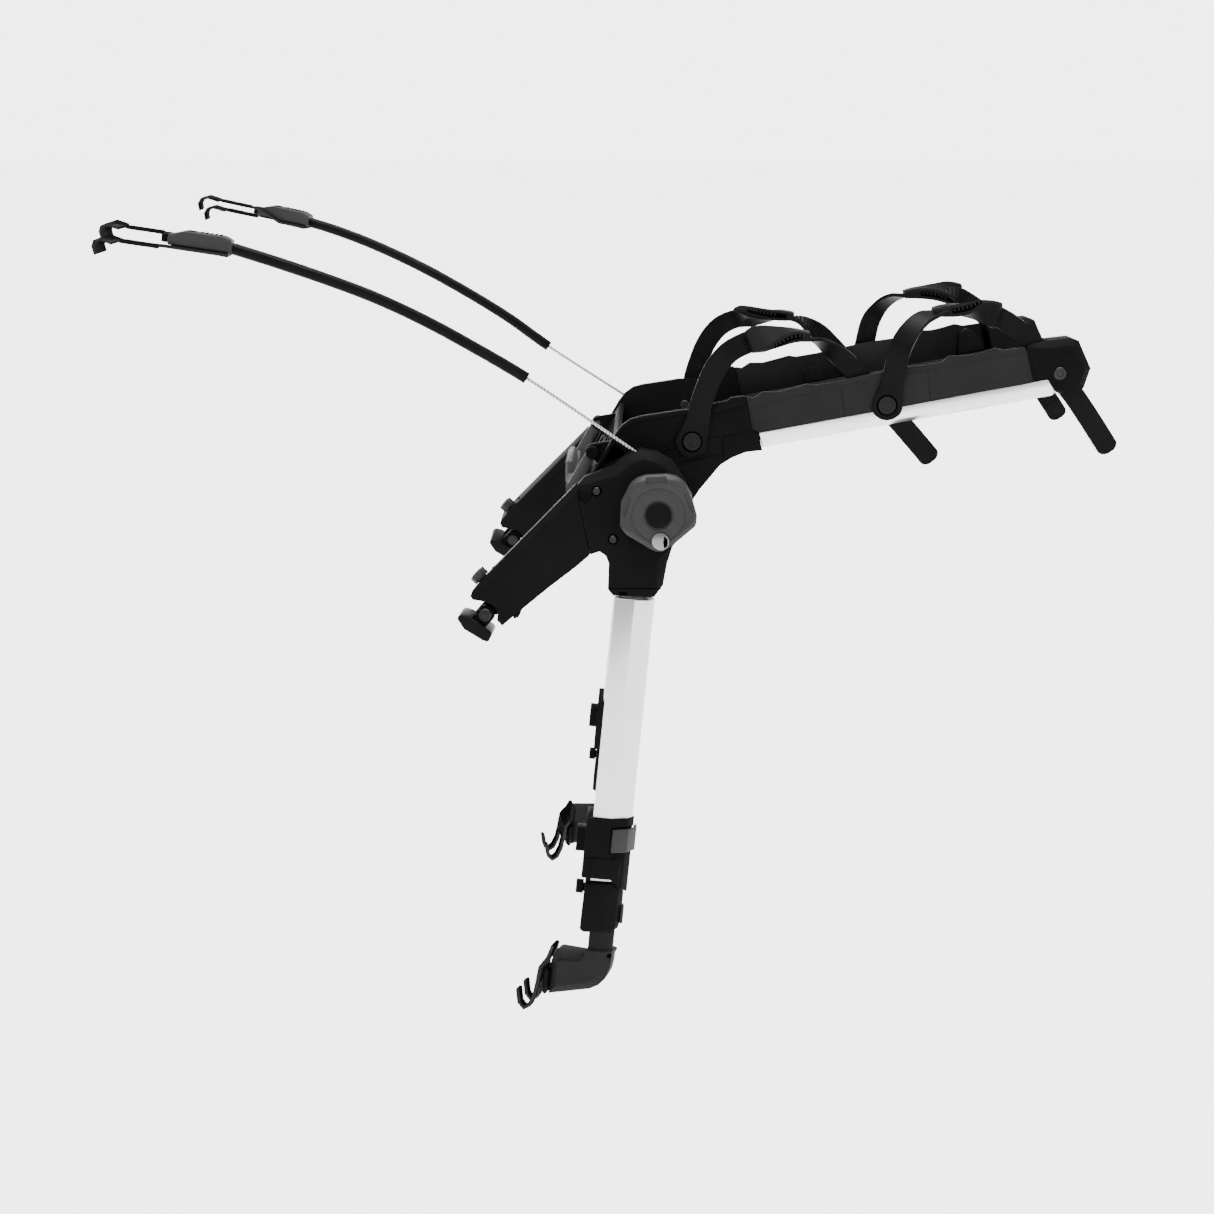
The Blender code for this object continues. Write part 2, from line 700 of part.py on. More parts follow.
def end_cap():
    body = chamfered(flat_solid([CAP], ARM_IN, WALL_OUT), CAP_CHAMFER, on_cap_rim)
    return cut(body, slot(STRAP_REAR))


def lever(points):
    return bevelled(flat_solid([points], ARM_PLANE - 17, ARM_PLANE + 17), 1.2)


LEVER_FRONT = [
    (107, 168.8), (103, 171.8), (110, 174.8), (132, 174.6), (149, 170.5), (152, 167.5), (149, 165.3), (120, 165.6),
]
LEVER_REAR = [(277, 191.8), (273.5, 195.2), (290, 199), (305, 200.3), (308.5, 197.5), (307, 194.4), (300, 193.4)]
LEVER_FRONT_HINGE = (147, ARM_PLANE, 167.5)
LEVER_REAR_HINGE = (304, ARM_PLANE, 197)


def build_arms():
    place_both("arm_cover", arm_cover(), "dark_plastic")
    place_both("arm_rail", arm_rail(), "aluminium")
    place_both("end_cap", end_cap(), "black_plastic")
    place_both("strap_front", ribbon(smooth(STRAP_FRONT, 3), STRAP_THICK), "rubber", soft=True)
    place_both("strap_rear", ribbon(smooth(STRAP_REAR, 3), STRAP_THICK), "rubber", soft=True)
    place_both("buckle_front", lever(LEVER_FRONT), "black_plastic", None, LEVER_FRONT_HINGE)
    place_both("buckle_rear", lever(LEVER_REAR), "black_plastic", None, LEVER_REAR_HINGE)


# ---------------------------------------------------------------- cables and hatch hooks

CABLE_RUNS = {
    -1: [
        (-10.5, 189.5, 49.5), (-60, 191, 84), (-128, 194, 130), (-187, 198, 165), (-229, 202, 188),
        (-271, 207, 208), (-313, 212, 224.5), (-360, 217, 241), (-401.6, 221.2, 254.5),
    ],
    1: [
        (-10.5, 189.5, 49.5), (-60, 191, 80), (-126, 194, 122), (-173, 197, 155), (-225, 202, 186),
        (-276, 208, 213), (-327, 213, 236), (-370, 217.5, 252), (-401.6, 221.2, 261.5),
    ],
}
BUCKLE_ENDS = {-1: ((-402.3, 221.3, 256.5), (-461, 226, 265.5)), 1: ((-402.3, 221.3, 263.5), (-461, 226, 275.5))}
SLEEVE_START = 2
CABLE_STEPS = 5
BUCKLE_SIDE = [(0, -6.2), (0, 5.5), (-8, 8.6), (-44, 8.6), (-59.4, 3.2), (-59.4, -6.2)]
HOOK_ARM = (12.7, 17.0)
ARM_TALL = 3.0
OUTER_ARM = [(-2, -7.8), (-62, -7.8), (-108, -9.4)]
INNER_ARM = [(-2, -7.8), (-32, -7.8), (-56, 2.4), (-108, 3.0)]
HOOK_CURL = [
    (4, 1.4), (-10, 1.4), (-17.5, -3.5), (-19, -10), (-15.5, -17.5), (-13.3, -16.2), (-15.8, -10), (-14.8, -5),
    (-9, -1.4), (4, -1.4),
]
CURL_TURN = 28.0
CURL_ROLL = 16.0


def thick_line(points, width):
    """Outline of a line of even width."""
    left, right = [], []
    for i, (x, z) in enumerate(points):
        before, after = points[max(i - 1, 0)], points[min(i + 1, len(points) - 1)]
        along = (Vector(after) - Vector(before)).normalized() * width / 2
        left.append((x - along.y, z + along.x))
        right.append((x + along.y, z - along.x))
    return left + right[::-1]


def hatch_hook(side):
    """A flat steel bow whose two arms pass along the sides of the buckle to broad curled tips."""
    parts = [box((-9, -16.5, -9.6), (-2.4, 16.5, -6.8))]
    for outward, arm in ((1, OUTER_ARM), (-1, INNER_ARM)):
        low, high = sorted((side * outward * HOOK_ARM[0], side * outward * HOOK_ARM[1]))
        parts.append(flat_solid([thick_line(arm, ARM_TALL)], low, high))
        curl = flat_solid([HOOK_CURL], -8, 8)
        curl.transform(Matrix.Rotation(radians(side * CURL_TURN), 4, "Z"))
        curl.transform(Matrix.Rotation(radians(-side * CURL_ROLL), 4, "X"))
        parts.append(moved(curl, arm[-1][0], (low + high) / 2, arm[-1][1]))
    return joined(parts[0], *parts[1:])


def trimmed(run):
    """The same run with its far end drawn back so that it stays clear of what it meets."""
    last = Vector(run[-1])
    back = (Vector(run[-2]) - last).normalized()
    return [*run[:-1], tuple(last + back * GAP)]


def build_cables():
    for side, tag in SIDES:
        run = smooth([(x, side * y, z) for x, y, z in CABLE_RUNS[side]], CABLE_STEPS)
        place(f"cable_{tag}", wire(run, CABLE_D), "steel_bright", soft=True)
        covered = trimmed(run[SLEEVE_START * CABLE_STEPS:])
        place(f"cable_sleeve_{tag}", hose(covered, SLEEVE_D, CABLE_D + 0.8), "cable_coat", soft=True)
        near, far = (Vector((x, side * y, z)) * MM for x, y, z in BUCKLE_ENDS[side])
        along = (near - far).normalized()
        across = Vector((0, 0, 1)).cross(along).normalized()
        frame = Matrix((along, across, along.cross(across))).transposed().to_4x4()
        frame.translation = near
        body = bevelled(flat_solid([BUCKLE_SIDE], -12.3, 12.3), 1.0)
        body.transform(frame)
        hook = hatch_hook(side)
        hook.transform(frame)
        place(f"cable_buckle_{tag}", body, "grey_plastic")
        place(f"cable_hook_{tag}", hook, "steel_dark")


clear_scene()
rack = bpy.data.collections.new("hatch_bike_rack")
bpy.context.scene.collection.children.link(rack)
materials = {name: make_material(name) for name in MATERIALS}
frames, pillars, feet = {}, {}, {}
for side, tag in SIDES:
    splay = Matrix.Translation((0, side * FRAME_Y * MM, 0)) @ Matrix.Rotation(radians(side * SPLAY), 4, "X")
    frames[side] = make_empty(f"frame_{tag}", splay)
    lean = Matrix.Translation((PILLAR_X * MM, 0, 0)) @ Matrix.Rotation(radians(PILLAR_TILT), 4, "Y")
    pillars[side] = make_empty(f"pillar_frame_{tag}", lean, frames[side])
    toe = Matrix.Translation((FOOT_AXIS_P * MM, 0, 0)) @ Matrix.Rotation(radians(side * TOE_IN), 4, "Z")
    feet[side] = make_empty(f"foot_frame_{tag}", toe, pillars[side])
build_side_frames(frames, pillars, feet)
place("arm_bracket", arm_bracket(), "black_plastic")
place("hub_axle", hub_axle(), "steel_dark")
place("release_handle", release_handle(), "light_grey_plastic", None, (HANDLE_PIVOT[0], 0, HANDLE_PIVOT[1]))
build_arms()
build_cables()
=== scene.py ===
"""Looks of the strap-on hatch bicycle rack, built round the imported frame.

Lengths in outlines, stations and profiles are millimetres.
"""

import json
from math import cos, radians, sin, sqrt

import bmesh
import bpy
from mathutils import Matrix, Vector


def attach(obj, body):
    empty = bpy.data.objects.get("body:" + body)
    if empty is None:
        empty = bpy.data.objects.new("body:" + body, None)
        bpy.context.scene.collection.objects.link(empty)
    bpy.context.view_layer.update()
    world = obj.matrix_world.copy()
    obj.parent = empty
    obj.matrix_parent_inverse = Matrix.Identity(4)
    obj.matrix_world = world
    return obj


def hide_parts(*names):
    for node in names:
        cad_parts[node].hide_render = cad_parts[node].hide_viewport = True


MM = 0.001
SIDES = ((1, "right"), (-1, "left"))

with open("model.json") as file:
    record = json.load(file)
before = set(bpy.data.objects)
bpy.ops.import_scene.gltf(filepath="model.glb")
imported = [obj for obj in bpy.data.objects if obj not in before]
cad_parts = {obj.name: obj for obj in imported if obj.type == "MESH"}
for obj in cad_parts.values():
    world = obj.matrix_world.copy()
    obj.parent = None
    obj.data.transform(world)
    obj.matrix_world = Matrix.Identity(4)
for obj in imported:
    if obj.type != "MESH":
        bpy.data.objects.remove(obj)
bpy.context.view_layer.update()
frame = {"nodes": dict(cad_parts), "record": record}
NODE_BODY = {n: b for b, ns in frame["record"]["behaviour"]["bodies"].items() for n in ns}
NODE_SLOT = {s["node"]: s["material_slot"] for s in frame["record"]["subparts"]}

# ---------------------------------------------------------------- camera

EYE = Vector((-0.00884, -2.12578, 0.35430))
LOOK = Vector((-0.020904, 0.973593, -0.227331)).normalized()
RIGHT = LOOK.cross(Vector((0, 0, 1))).normalized()
camera_data = bpy.data.cameras.new("camera")
camera_data.sensor_width = 36
camera_data.lens = 59.31
camera_data.dof.use_dof = False
camera_data.clip_end = 900
camera = bpy.data.objects.new("camera", camera_data)
turn = Matrix((RIGHT, RIGHT.cross(LOOK), -LOOK)).transposed().to_4x4()
camera.matrix_world = Matrix.Translation(EYE) @ turn
bpy.context.scene.collection.objects.link(camera)
bpy.context.scene.camera = camera

# ---------------------------------------------------------------- frames of the mirrored sides

# Offsets in metres, angles in degrees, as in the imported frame.
FRAME_OUT, SPLAY = 0.191, 5
PILLAR_BACK, LEAN = -0.01384, 5.48
FOOT_FORWARD, TOE = 0.0013, 12
FRAME, PILLAR, FOOT = {}, {}, {}
for side, tag in SIDES:
    splay = Matrix.Translation((0, side * FRAME_OUT, 0)) @ Matrix.Rotation(radians(side * SPLAY), 4, "X")
    lean = Matrix.Translation((PILLAR_BACK, 0, 0)) @ Matrix.Rotation(radians(LEAN), 4, "Y")
    toe = Matrix.Translation((FOOT_FORWARD, 0, 0)) @ Matrix.Rotation(radians(side * TOE), 4, "Z")
    mirror = Matrix.Scale(side, 4, (0, 1, 0))
    FRAME[side] = splay @ mirror
    PILLAR[side] = splay @ lean @ mirror
    FOOT[side] = splay @ lean @ toe @ mirror
MIDDLE = {side: Matrix.Scale(side, 4, (0, 1, 0)) for side, tag in SIDES}


# ---------------------------------------------------------------- materials


def shader_nodes(name, colour, rough, metal=0.0, gloss=0.5):
    material = bpy.data.materials.new(name)
    material.use_nodes = True
    tree = material.node_tree
    shader = tree.nodes["Principled BSDF"]
    shader.inputs["Base Color"].default_value = (*colour, 1)
    shader.inputs["Roughness"].default_value = rough
    shader.inputs["Metallic"].default_value = metal
    shader.inputs["Specular IOR Level"].default_value = gloss
    return material, tree, shader


def noise(tree, scale, detail, stretch=(1, 1, 1)):
    place = tree.nodes.new("ShaderNodeTexCoord")
    shape = tree.nodes.new("ShaderNodeMapping")
    shape.inputs["Scale"].default_value = stretch
    texture = tree.nodes.new("ShaderNodeTexNoise")
    texture.inputs["Scale"].default_value = scale
    texture.inputs["Detail"].default_value = detail
    tree.links.new(place.outputs["Object"], shape.inputs["Vector"])
    tree.links.new(shape.outputs["Vector"], texture.inputs["Vector"])
    return texture.outputs["Fac"]


def ramp(tree, source, stops):
    node = tree.nodes.new("ShaderNodeValToRGB")
    elements = node.color_ramp.elements
    while len(elements) < len(stops):
        elements.new(0.5)
    for element, (place, colour) in zip(elements, stops):
        element.position = place
        element.color = (*colour, 1)
    tree.links.new(source, node.inputs["Fac"])
    return node.outputs["Color"]


def spread(tree, source, low, high):
    node = tree.nodes.new("ShaderNodeMapRange")
    node.inputs["To Min"].default_value = low
    node.inputs["To Max"].default_value = high
    tree.links.new(source, node.inputs["Value"])
    return node.outputs["Result"]


def grained(tree, shader, scale, detail, low, high):
    """Roughness that wanders between two values."""
    wander = spread(tree, noise(tree, scale, detail), low, high)
    tree.links.new(wander, shader.inputs["Roughness"])


def bumped(tree, shader, source, strength, distance):
    node = tree.nodes.new("ShaderNodeBump")
    node.inputs["Strength"].default_value = strength
    node.inputs["Distance"].default_value = distance
    tree.links.new(source, node.inputs["Height"])
    tree.links.new(node.outputs["Normal"], shader.inputs["Normal"])


def toned(colour, factor):
    return tuple(c * factor for c in colour)


def plastic(name, colour, rough, gloss):
    """Moulded plastic: fine spark grain, faint flow mottling, uneven sheen."""
    material, tree, shader = shader_nodes(name, colour, rough, 0.0, gloss)
    mottle = noise(tree, 14, 5)
    stops = [(0.3, toned(colour, 0.86)), (0.7, toned(colour, 1.14))]
    tree.links.new(ramp(tree, mottle, stops), shader.inputs["Base Color"])
    grained(tree, shader, 60, 3, rough - 0.05, rough + 0.07)
    bumped(tree, shader, noise(tree, 2600, 2), 0.35, 0.00012)
    return material


def rubber(name, colour, rough, gloss):
    """Matt rubber: blotchy tone and a coarser grain than plastic."""
    material, tree, shader = shader_nodes(name, colour, rough, 0.0, gloss)
    stops = [(0.35, toned(colour, 0.8)), (0.7, toned(colour, 1.25))]
    tree.links.new(ramp(tree, noise(tree, 45, 6), stops), shader.inputs["Base Color"])
    grained(tree, shader, 160, 3, rough - 0.08, rough + 0.06)
    bumped(tree, shader, noise(tree, 1400, 3), 0.3, 0.0001)
    return material


def metal(name, colour, rough, stretch, scale=900, edge=1.0):
    """Drawn metal: fine lines along one direction and a slow change of sheen."""
    material, tree, shader = shader_nodes(name, colour, rough, 1.0)
    shader.inputs["Specular Tint"].default_value = (edge, edge, edge, 1)
    lines = noise(tree, scale, 3, stretch)
    stops = [(0.25, toned(colour, 0.93)), (0.75, toned(colour, 1.05))]
    tree.links.new(ramp(tree, lines, stops), shader.inputs["Base Color"])
    grained(tree, shader, 9, 4, rough - 0.04, rough + 0.06)
    bumped(tree, shader, lines, 0.08, 0.0001)
    return material


def stranded(name, colour, rough):
    """Twisted wire: painted shade in dark lines between the strands and a painted highlight along their
    crests, slanted across the run.
    """
    material, tree, shader = shader_nodes(name, colour, rough, 1.0)
    place = tree.nodes.new("ShaderNodeTexCoord")
    waves = tree.nodes.new("ShaderNodeTexWave")
    waves.inputs["Scale"].default_value = 105
    tree.links.new(place.outputs["Object"], waves.inputs["Vector"])
    # Painted shade between the strands, painted highlight on their crests.
    stops = [(0.15, toned(colour, 0.3)), (0.55, colour), (0.9, toned(colour, 1.2))]
    tree.links.new(ramp(tree, waves.outputs["Fac"], stops), shader.inputs["Base Color"])
    grained(tree, shader, 300, 3, rough - 0.05, rough + 0.08)
    bumped(tree, shader, waves.outputs["Fac"], 0.6, 0.0003)
    return material


LOOKS = {
    "black_plastic": plastic("black_plastic_look", (0.0034, 0.0034, 0.0036), 0.42, 0.008),
    "dark_plastic": plastic("dark_plastic_look", (0.01, 0.01, 0.0105), 0.46, 0.008),
    "grey_plastic": plastic("grey_plastic_look", (0.0145, 0.0145, 0.0151), 0.42, 0.09),
    "light_grey_plastic": plastic("light_grey_plastic_look", (0.03, 0.0303, 0.031), 0.42, 0.12),
    "aluminium": metal("aluminium_look", (0.50, 0.51, 0.515), 0.3, (1, 1, 0.02)),
    "steel_dark": metal("steel_dark_look", (0.014, 0.0136, 0.0132), 0.4, (1, 1, 1), 500, 0.12),
    "steel_bright": metal("steel_bright_look", (0.15, 0.146, 0.14), 0.32, (1, 1, 1), 700),
    "rubber": rubber("rubber_look", (0.0022, 0.0022, 0.0023), 0.4, 0.035),
    "cable_coat": rubber("cable_coat_look", (0.0026, 0.0026, 0.0027), 0.4, 0.03),
}
LOOKS["rail"] = metal("rail_look", (0.6, 0.61, 0.615), 0.3, (0.02, 1, 1))
LOOKS["strand"] = stranded("strand_look", (0.34, 0.335, 0.33), 0.34)
LOOKS["face"] = plastic("face_look", (0.012, 0.012, 0.0125), 0.42, 0.12)
LOOKS["buckle"] = plastic("buckle_look", (0.006, 0.006, 0.0063), 0.45, 0.006)
# Near-black fill for holes, slots, seams and gaps: painted shade inside them, darker than any plastic here.
LOOKS["painted_shade"] = plastic("painted_shade_look", (0.0006, 0.0006, 0.00065), 0.6, 0.001)
LOOKS["bolt"] = metal("bolt_look", (0.02, 0.0194, 0.019), 0.36, (1, 1, 1), 500, 0.2)


# ---------------------------------------------------------------- shape tools

FLAT_ANGLE = 0.4
WELD = 0.00001


def new_object(name, data):
    obj = bpy.data.objects.new(name, data)
    bpy.context.scene.collection.objects.link(obj)
    return obj


def tidy_faces(mesh):
    """Flat runs of triangles joined to single faces, normals outward."""
    work = bmesh.new()
    work.from_mesh(mesh)
    bmesh.ops.remove_doubles(work, verts=work.verts, dist=WELD)
    bmesh.ops.dissolve_limit(work, angle_limit=radians(FLAT_ANGLE), verts=work.verts, edges=work.edges)
    bmesh.ops.recalc_face_normals(work, faces=work.faces)
    work.to_mesh(mesh)
    work.free()
    return mesh


def evaluated(obj):
    bpy.context.view_layer.update()
    graph = bpy.context.evaluated_depsgraph_get()
    mesh = bpy.data.meshes.new_from_object(obj.evaluated_get(graph))
    mesh.transform(obj.matrix_world)
    bpy.data.objects.remove(obj)
    return mesh


def rounded(mesh, width, segments=2, angle=25):
    obj = new_object("base", mesh)
    step = obj.modifiers.new("edge", "BEVEL")
    step.width = width * MM
    step.segments = segments
    step.limit_method = "ANGLE"
    step.angle_limit = radians(angle)
    return evaluated(obj)


def shaded(mesh, angle=32):
    for face in mesh.polygons:
        face.use_smooth = True
    mesh.set_sharp_from_angle(angle=radians(angle))
    return mesh


def flat_solid(outlines, low, high):
    """Filled (x, z) outlines as a solid from low to high along y."""
    curve = bpy.data.curves.new("outline", "CURVE")
    curve.dimensions = "2D"
    curve.fill_mode = "BOTH"
    curve.extrude = (high - low) / 2 * MM
    for outline in outlines:
        spline = curve.splines.new("POLY")
        spline.points.add(len(outline) - 1)
        for point, (a, b) in zip(spline.points, outline):
            point.co = (a * MM, b * MM, 0, 1)
        spline.use_cyclic_u = True
    obj = new_object("outline", curve)
    middle = (low + high) / 2 * MM
    obj.matrix_world = Matrix.Translation((0, middle, 0)) @ Matrix.Rotation(radians(90), 4, "X")
    return tidy_faces(evaluated(obj))


def rod(radius, start, end):
    first = Vector(start)
    along = Vector(end) - first
    work = bmesh.new()
    bmesh.ops.create_cone(
        work,
        cap_ends=True,
        segments=32,
        radius1=radius * MM,
        radius2=radius * MM,
        depth=along.length * MM,
    )
    swing = Vector((0, 0, 1)).rotation_difference(along).to_matrix().to_4x4()
    work.transform(Matrix.Translation((first + along / 2) * MM) @ swing)
    mesh = bpy.data.meshes.new("rod")
    work.to_mesh(mesh)
    work.free()
    return mesh


def box(low, high):
    work = bmesh.new()
    bmesh.ops.create_cube(work, size=1)
    bmesh.ops.scale(work, vec=[(b - a) * MM for a, b in zip(low, high)], verts=work.verts)
    bmesh.ops.translate(work, vec=[(a + b) / 2 * MM for a, b in zip(low, high)], verts=work.verts)
    mesh = bpy.data.meshes.new("box")
    work.to_mesh(mesh)
    work.free()
    return mesh


def cut(mesh, *others):
    obj = new_object("base", mesh)
    tools = []
    for other in others:
        tool = new_object("tool", other)
        tools.append(tool)
        step = obj.modifiers.new("step", "BOOLEAN")
        step.operation = "DIFFERENCE"
        step.solver = "EXACT"
        step.object = tool
    result = evaluated(obj)
    for tool in tools:
        bpy.data.objects.remove(tool)
    return tidy_faces(result)


def gathered(meshes):
    """Several closed shapes as one mesh, without a union."""
    work = bmesh.new()
    for mesh in meshes:
        work.from_mesh(mesh)
    mesh = bpy.data.meshes.new("gathered")
    work.to_mesh(mesh)
    work.free()
    return mesh


def catmull(a, b, c, d, t):
    """Value at share t between b and c on a smooth run through four values."""
    return 0.5 * (2 * b + (c - a) * t + (2 * a - 5 * b + 4 * c - d) * t**2 + (3 * b - a - 3 * c + d) * t**3)


def smooth(points, steps):
    run = []
    count = len(points)
    for i in range(count - 1):
        a = points[max(i - 1, 0)]
        b = points[i]
        c = points[i + 1]
        d = points[min(i + 2, count - 1)]
        for k in range(steps):
            run.append(tuple(catmull(*values, k / steps) for values in zip(a, b, c, d)))
    run.append(tuple(points[-1]))
    return run


def strip(points, width):
    """Outline of a line of even width."""
    left, right = [], []
    for i, (x, z) in enumerate(points):
        before = Vector(points[max(i - 1, 0)])
        after = Vector(points[min(i + 1, len(points) - 1)])
        along = (after - before).normalized() * width / 2
        left.append((x - along.y, z + along.x))
        right.append((x + along.y, z - along.x))
    return left + right[::-1]


def skinned(rings, looped=False):
    """A closed skin through rings of points; a ring of one point closes an end."""
    work = bmesh.new()
    made = [[work.verts.new(Vector(p) * MM) for p in ring] for ring in rings]
    pairs = list(zip(made, made[1:]))
    if looped:
        pairs.append((made[-1], made[0]))
    for low, high in pairs:
        count = max(len(low), len(high))
        for k in range(count):
            after = k + 1
            corners = [low[k % len(low)], low[after % len(low)], high[after % len(high)], high[k % len(high)]]
            work.faces.new(list(dict.fromkeys(corners)))
    for end in (made[0], made[-1]):
        if len(end) > 2 and not looped:
            work.faces.new(end)
    bmesh.ops.recalc_face_normals(work, faces=work.faces)
    mesh = bpy.data.meshes.new("skin")
    work.to_mesh(mesh)
    work.free()
    return mesh


def turned(profile, centre, segments=40, looped=False):
    """A round shape about the outward axis through centre; profile is (radius, outward)."""
    rings = []
    for radius, out in profile:
        count = segments if radius > 0 else 1
        turns = [radians(360 * k / count) for k in range(count)]
        rings.append([(centre[0] + radius * cos(a), out, centre[1] + radius * sin(a)) for a in turns])
    return skinned(rings, looped)


def ring(inner, outer, low, high, centre):
    return turned([(inner, low), (outer, low), (outer, high), (inner, high)], centre, 48, True)


def plate(outline, low, high, edge=0.4):
    return rounded(flat_solid([outline], low, high), edge, 2)


def screw_head(radius, base, height, centre):
    """A low domed head with a countersunk drive hole."""
    top = base + height
    profile = [(0, base), (radius, base), (radius, top - 0.7), (radius - 0.7, top), (radius * 0.5, top)]
    return turned(profile + [(radius * 0.42, top - 0.9), (0, top - 1.0)], centre)


# ---------------------------------------------------------------- flat bars: straps and shells
# Stations are (x, y, z, twist, width, thick).


def reach_of(stations):
    run = [Vector(p[:3]) for p in smooth(stations, 6)]
    return sum((b - a).length for a, b in zip(run, run[1:]))


def resampled(stations, start, end, spacing=3.0, round_start=0.0, round_end=0.0):
    """Stations at even distances along a strap, with the corners of its ends rounded."""
    run = smooth(stations, 6)
    reach = [0.0]
    for a, b in zip(run, run[1:]):
        reach.append(reach[-1] + (Vector(b[:3]) - Vector(a[:3])).length)
    end = reach[-1] if end is None else end
    count = max(int((end - start) / spacing), 1)
    places = {start + (end - start) * i / count for i in range(count + 1)}
    for radius, edge, sign in ((round_start, start, 1), (round_end, end, -1)):
        places |= {edge + sign * radius * part for part in (0.01, 0.06, 0.15, 0.3, 0.5, 0.75)}
    found = []
    for place in sorted(places):
        i = max(k for k in range(len(run) - 1) if reach[k] <= place + 1e-6)
        share = (place - reach[i]) / (reach[i + 1] - reach[i])
        station = [a + (b - a) * share for a, b in zip(run[i], run[i + 1])]
        half = station[4] / 2
        for radius, gone in ((round_start, place - start), (round_end, end - place)):
            if gone < radius:
                corner = min(radius, station[4] / 2)
                swell = sqrt(max(corner**2 - (corner - gone) ** 2, 0))
                half = min(half, station[4] / 2 - corner + swell + 0.3)
        station[4] = 2 * half
        found.append(tuple(station))
    return found


def directions(stations, i):
    before = Vector(stations[max(i - 1, 0)][:3])
    after = Vector(stations[min(i + 1, len(stations) - 1)][:3])
    run = (after - before).normalized()
    flat = run.cross(Vector((0, 1, 0))).normalized()
    twist = radians(stations[i][3])
    side = flat * cos(twist) + Vector((0, 1, 0)) * sin(twist)
    side = (side - run * side.dot(run)).normalized()
    return run, side, run.cross(side).normalized()


def swept(stations, lift=0.0, edge=0.9):
    """A flat bar with eased edges along the stations, lifted towards its ribbed face."""
    rings = []
    for i, (x, y, z, twist, width, thick) in enumerate(stations):
        run, side, face = directions(stations, i)
        middle = Vector((x, y, z)) + face * lift
        a, b = width / 2, thick / 2
        e = min(edge, a * 0.45, b * 0.45)
        corners = [(a - e, b), (e - a, b), (-a, b - e), (-a, e - b)]
        corners += [(e - a, -b), (a - e, -b), (a, e - b), (a, b - e)]
        rings.append([middle + side * u + face * v for u, v in corners])
    return skinned(rings)


def along_edge(stations, start, end, edge, out, thick):
    """Stations that follow one edge of a strap or shell."""
    rows = resampled(stations, start, end)
    found = []
    for i, row in enumerate(rows):
        run, side, face = directions(rows, i)
        place = Vector(row[:3]) + side * edge * (row[4] / 2 + out)
        found.append((*place, row[3], 1.4, thick))
    return found


def cross_ribs(stations, lift, size, start, end, pitch):
    """Ribs across a strap: size is (along, across, height)."""
    marks = []
    place = start
    while place < end:
        pair = resampled(stations, place, place + 0.5)
        run, side, face = directions(pair, 0)
        matrix = Matrix((run, side, face)).transposed().to_4x4()
        matrix.translation = (Vector(pair[0][:3]) + face * lift) * MM
        rib = box([-v / 2 for v in size], [v / 2 for v in size])
        rib.transform(matrix)
        marks.append(rib)
        place += pitch
    return gathered(marks)


# ---------------------------------------------------------------- placing


def piece(name, mesh, look, body, matrix=None, angle=32):
    """A finished mesh as a piece of the object, riding on a CAD body."""
    if matrix is not None:
        mesh.transform(matrix)
        if matrix.determinant() < 0:
            mesh.flip_normals()
    mesh.materials.clear()
    mesh.materials.append(LOOKS[look])
    shaded(mesh, angle)
    obj = new_object(name, mesh)
    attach(obj, body)
    return obj


def both(stem, mesh, look, body, frames, angle=32):
    """Right and left copies of a detail; body holds {} where the side's name goes."""
    made = []
    for side, tag in SIDES:
        made.append(piece(f"{stem}_{tag}", mesh.copy(), look, body.format(tag), frames[side], angle))
    return made


def on_side(stem, mesh, look="black_plastic"):
    return both(stem, mesh, look, "side_frames", FRAME)


def on_arms(stem, mesh, look="black_plastic", angle=32):
    return both(stem, mesh, look, "carrier_arms", MIDDLE, angle)


def refined(node, width, segments=2, look=None, angle=25, shade=32):
    """The CAD node's own shape with its edges rounded, shown in its place."""
    mesh = tidy_faces(frame["nodes"][node].data.copy())
    mesh = rounded(mesh, width, segments, angle)
    obj = piece(f"{node}_look", mesh, look or NODE_SLOT[node], NODE_BODY[node], None, shade)
    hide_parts(node)
    return obj


def refined_both(stem, width, segments=2, look=None):
    for side, tag in SIDES:
        refined(f"{stem}_{tag}", width, segments, look)


# ---------------------------------------------------------------- cables (first)

CABLE_RUNS = {
    -1: [
        (-10.5, 189.5, 49.5), (-60, 191, 84), (-128, 194, 130), (-187, 198, 165), (-229, 202, 188),
        (-271, 207, 208), (-313, 212, 224.5), (-360, 217, 241), (-401.6, 221.2, 254.5),
    ],
    1: [
        (-10.5, 189.5, 49.5), (-60, 191, 80), (-126, 194, 122), (-173, 197, 155), (-225, 202, 186),
        (-276, 208, 213), (-327, 213, 236), (-370, 217.5, 252), (-401.6, 221.2, 261.5),
    ],
}
BUCKLE_ENDS = {
    -1: ((-402.3, 221.3, 256.5), (-461, 226, 265.5)),
    1: ((-402.3, 221.3, 263.5), (-461, 226, 275.5)),
}
CABLE_D = 0.003


def buckle_frame(side):
    near, far = (Vector((x, side * y, z)) * MM for x, y, z in BUCKLE_ENDS[side])
    along = (near - far).normalized()
    across = Vector((0, 0, 1)).cross(along).normalized()
    matrix = Matrix((along, across, along.cross(across))).transposed().to_4x4()
    matrix.translation = near
    return matrix


def cable_wire(side, tag):
    run = smooth([(x * MM, side * y * MM, z * MM) for x, y, z in CABLE_RUNS[side]], 5)
    curve = bpy.data.curves.new(f"cable_wire_{tag}", "CURVE")
    curve.dimensions = "3D"
    curve.bevel_depth = CABLE_D / 2
    curve.bevel_resolution = 3
    curve.use_fill_caps = True
    spline = curve.splines.new("POLY")
    spline.points.add(len(run) - 1)
    for point, place in zip(spline.points, run):
        point.co = (*place, 1)
    curve.materials.append(LOOKS["strand"])
    obj = new_object(f"cable_wire_{tag}", curve)
    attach(obj, "side_frames")
    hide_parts(f"cable_{tag}")
    return obj, run


for side, tag in SIDES:
    wire, run = cable_wire(side, tag)
    sleeve = refined(f"cable_sleeve_{tag}", 0.6, 2, "cable_coat", 60, 60)

# ---------------------------------------------------------------- refined CAD nodes

